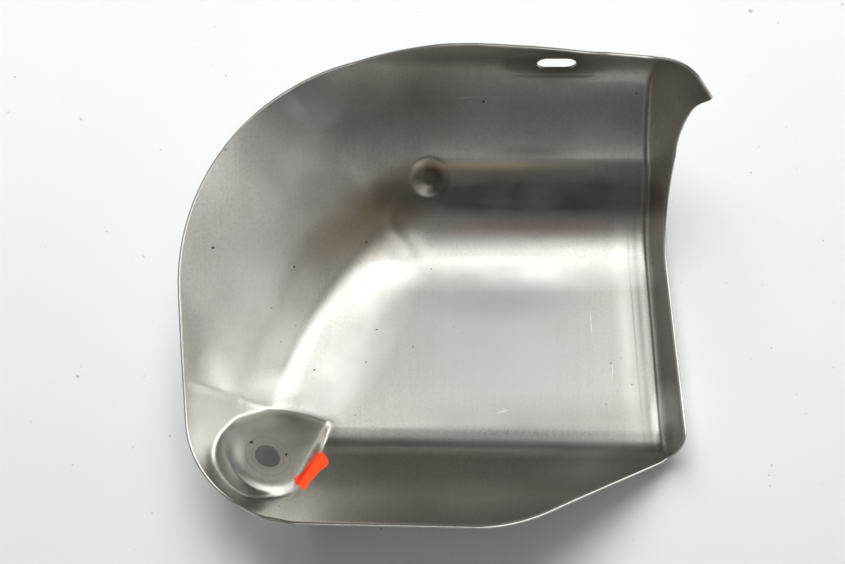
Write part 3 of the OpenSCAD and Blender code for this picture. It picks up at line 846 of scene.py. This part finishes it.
for polygon in paint.data.polygons:
    polygon.use_smooth = True
print("paint dab", len(paint.data.polygons), "faces")

# %% [markdown]
# The paint is an orange marking enamel put on with a stiff brush. Enamel is a dielectric with
# a strong pigment: it gives the eye one flat, saturated colour, a soft shine, and fine brush
# marks about a millimetre and a half apart.

# %% Marking enamel
BRUSH_MM, BRUSH_DEEP_MM = 1.429, 0.05
enamel, tree = new_material("orange_marking_enamel")
where = add(tree, "ShaderNodeTexCoord").outputs["Object"]
brush = add(tree, "ShaderNodeTexNoise", {"Scale": per_metre(BRUSH_MM), "Detail": 2.0}, Vector=where)
bump = add(tree, "ShaderNodeBump", {"Strength": 0.3, "Distance": BRUSH_DEEP_MM * MM},
           Height=brush.outputs["Fac"])
surface = add(tree, "ShaderNodeBsdfPrincipled", {"Base Color": tone("#F0430F"), "Roughness": 0.5},
              Normal=bump.outputs["Normal"])
add(tree, "ShaderNodeOutputMaterial", Surface=surface.outputs["BSDF"])
paint.data.materials.append(enamel)
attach(paint, "root")
print("material", enamel.name, "with", len(tree.nodes), "nodes")

# %% [markdown]
# The table is a pale painted board: a matt white with a cool cast, slow clouds of tone and a
# few specks of dust. It gives the eye a quiet ground that still takes the part's shadow. Far
# from the part the board keeps its pale colour by itself, for the camera and for reflections,
# so it stays pale out to its edge from any side.

# %% Table
FAR = 30000
TABLE_Z = -0.3
CLOUD_MM, DUST_MM = 166.7, 3.03
LIT_WITHIN, PALE_FROM = 0.3, 1.0
table = mesh_from("table", [(-FAR, -FAR, TABLE_Z), (FAR, -FAR, TABLE_Z), (FAR, FAR, TABLE_Z),
                            (-FAR, FAR, TABLE_Z)], [[0, 1, 2, 3]])
board, tree = new_material("pale_table_board")
where = add(tree, "ShaderNodeTexCoord").outputs["Object"]
cloud = add(tree, "ShaderNodeTexNoise", {"Scale": per_metre(CLOUD_MM), "Detail": 3.0}, Vector=where)
dust = add(tree, "ShaderNodeTexNoise", {"Scale": per_metre(DUST_MM), "Detail": 1.0}, Vector=where)
dust = add(tree, "ShaderNodeMapRange", {"From Min": 0.76, "From Max": 0.82},
           Value=dust.outputs["Fac"]).outputs["Result"]
tones = add(tree, "ShaderNodeMix", {"data_type": "RGBA", 6: tone("#E6E9E9"), 7: tone("#F1F3F2")},
            i0=cloud.outputs["Fac"]).outputs[2]
surface = add(tree, "ShaderNodeBsdfPrincipled", {"Roughness": 0.6},
              Base_Color=lay_over(tree, tones, (dust, "#B9BCBC")))
from_middle = add(tree, "ShaderNodeVectorMath", {"operation": "LENGTH"}, i0=where).outputs["Value"]
far_off = add(tree, "ShaderNodeMapRange", {"From Min": LIT_WITHIN, "From Max": PALE_FROM},
              Value=from_middle).outputs["Result"]
ray = add(tree, "ShaderNodeLightPath").outputs
seen = ray["Is Camera Ray"]
for kind in ("Is Glossy Ray", "Is Transmission Ray"):
    seen = add(tree, "ShaderNodeMath", {"operation": "ADD", "use_clamp": True}, i0=seen,
               i1=ray[kind]).outputs["Value"]
far_off = add(tree, "ShaderNodeMath", {"operation": "MULTIPLY"}, i0=far_off, i1=seen).outputs["Value"]
pale = add(tree, "ShaderNodeEmission", {"Color": tone("#E9ECEC"), "Strength": 1.0})
mixed = add(tree, "ShaderNodeMixShader", i0=far_off, i1=surface.outputs["BSDF"],
            i2=pale.outputs["Emission"])
add(tree, "ShaderNodeOutputMaterial", Surface=mixed.outputs["Shader"])
table.data.materials.append(board)
print("table", 2 * FAR / 1000, "m wide, material", board.name)

# %% [markdown]
# Metal shows the room rather than its own colour, so the room is built from soft panels: a
# wide one overhead, a brighter strip a little towards the bottom of the picture, which draws
# the band along the step and the diagonal, and tall ones on the right, which fill the left
# dish. Seven of them show in the metal alone. The light on the board and the paint comes from
# the overhead panel and from a window at the top of the picture, which the metal doesn't
# show, so the shadow falls towards the bottom of the picture.

# %% Lamps and room
ROOM_GREY = 0.06
# Each panel is its name, place and size in metres, power in watts and roll in degrees.
SEEN_AND_LIT = ("overhead", (0.0, 0.3, 1.6), (1.5, 1.2), 3.25, 0)
LIT_ALONE = ("window", (-0.1, 1.1, 1.0), (1.0, 0.9), 31.5, 0)
SEEN_ALONE = [
    ("key", (0.3, -0.51, 1.2), (1.5, 0.30), 4.8, -14),
    ("key_right", (0.66, -0.14, 1.2), (0.74, 0.56), 1.7, 0),
    ("right_back", (1.2, 0.45, 0.95), (1.8, 1.15), 18.0, 0),
    ("right_front", (1.3, -0.4, 0.9), (2.0, 1.0), 4.4, 0),
    ("front_middle", (0.0, -1.18, 0.92), (0.3, 3.2), 0.55, 0),
    ("front_low", (0.0, -1.6, 0.17), (0.3, 3.2), 0.2, 0),
    ("left_low", (-1.5, 0.0, 0.5), (0.9, 2.4), 3.9, 0),
]


def panel(name, at, size, power, roll):
    """A soft white area light that faces the pan."""
    light = bpy.data.lights.new(name, "AREA")
    light.shape, light.size, light.size_y = "RECTANGLE", size[0], size[1]
    light.energy = power
    lamp = bpy.data.objects.new(name, light)
    lamp.location = at
    aim = -np.array(at) / np.linalg.norm(at)
    side = np.cross(aim, [0, 1, 0] if abs(aim[1]) < 0.9 else [1, 0, 0])
    side /= np.linalg.norm(side)
    up = np.cross(side, aim)
    turn = math.radians(roll)
    right = side * math.cos(turn) + up * math.sin(turn)
    up = up * math.cos(turn) - side * math.sin(turn)
    lamp.rotation_euler = mathutils.Matrix(np.array([right, up, -aim]).T.tolist()).to_euler()
    bpy.context.scene.collection.objects.link(lamp)
    return lamp


panel(*SEEN_AND_LIT)
for settings in SEEN_ALONE:
    panel(*settings).visible_diffuse = False
panel(*LIT_ALONE).visible_glossy = False
world = bpy.data.worlds.new("room")
bpy.context.scene.world = world
world.use_nodes = True
world.node_tree.nodes["Background"].inputs["Color"].default_value = (ROOM_GREY,) * 3 + (1,)
print(len(SEEN_ALONE) + 2, "lamps in a room of grey", ROOM_GREY)
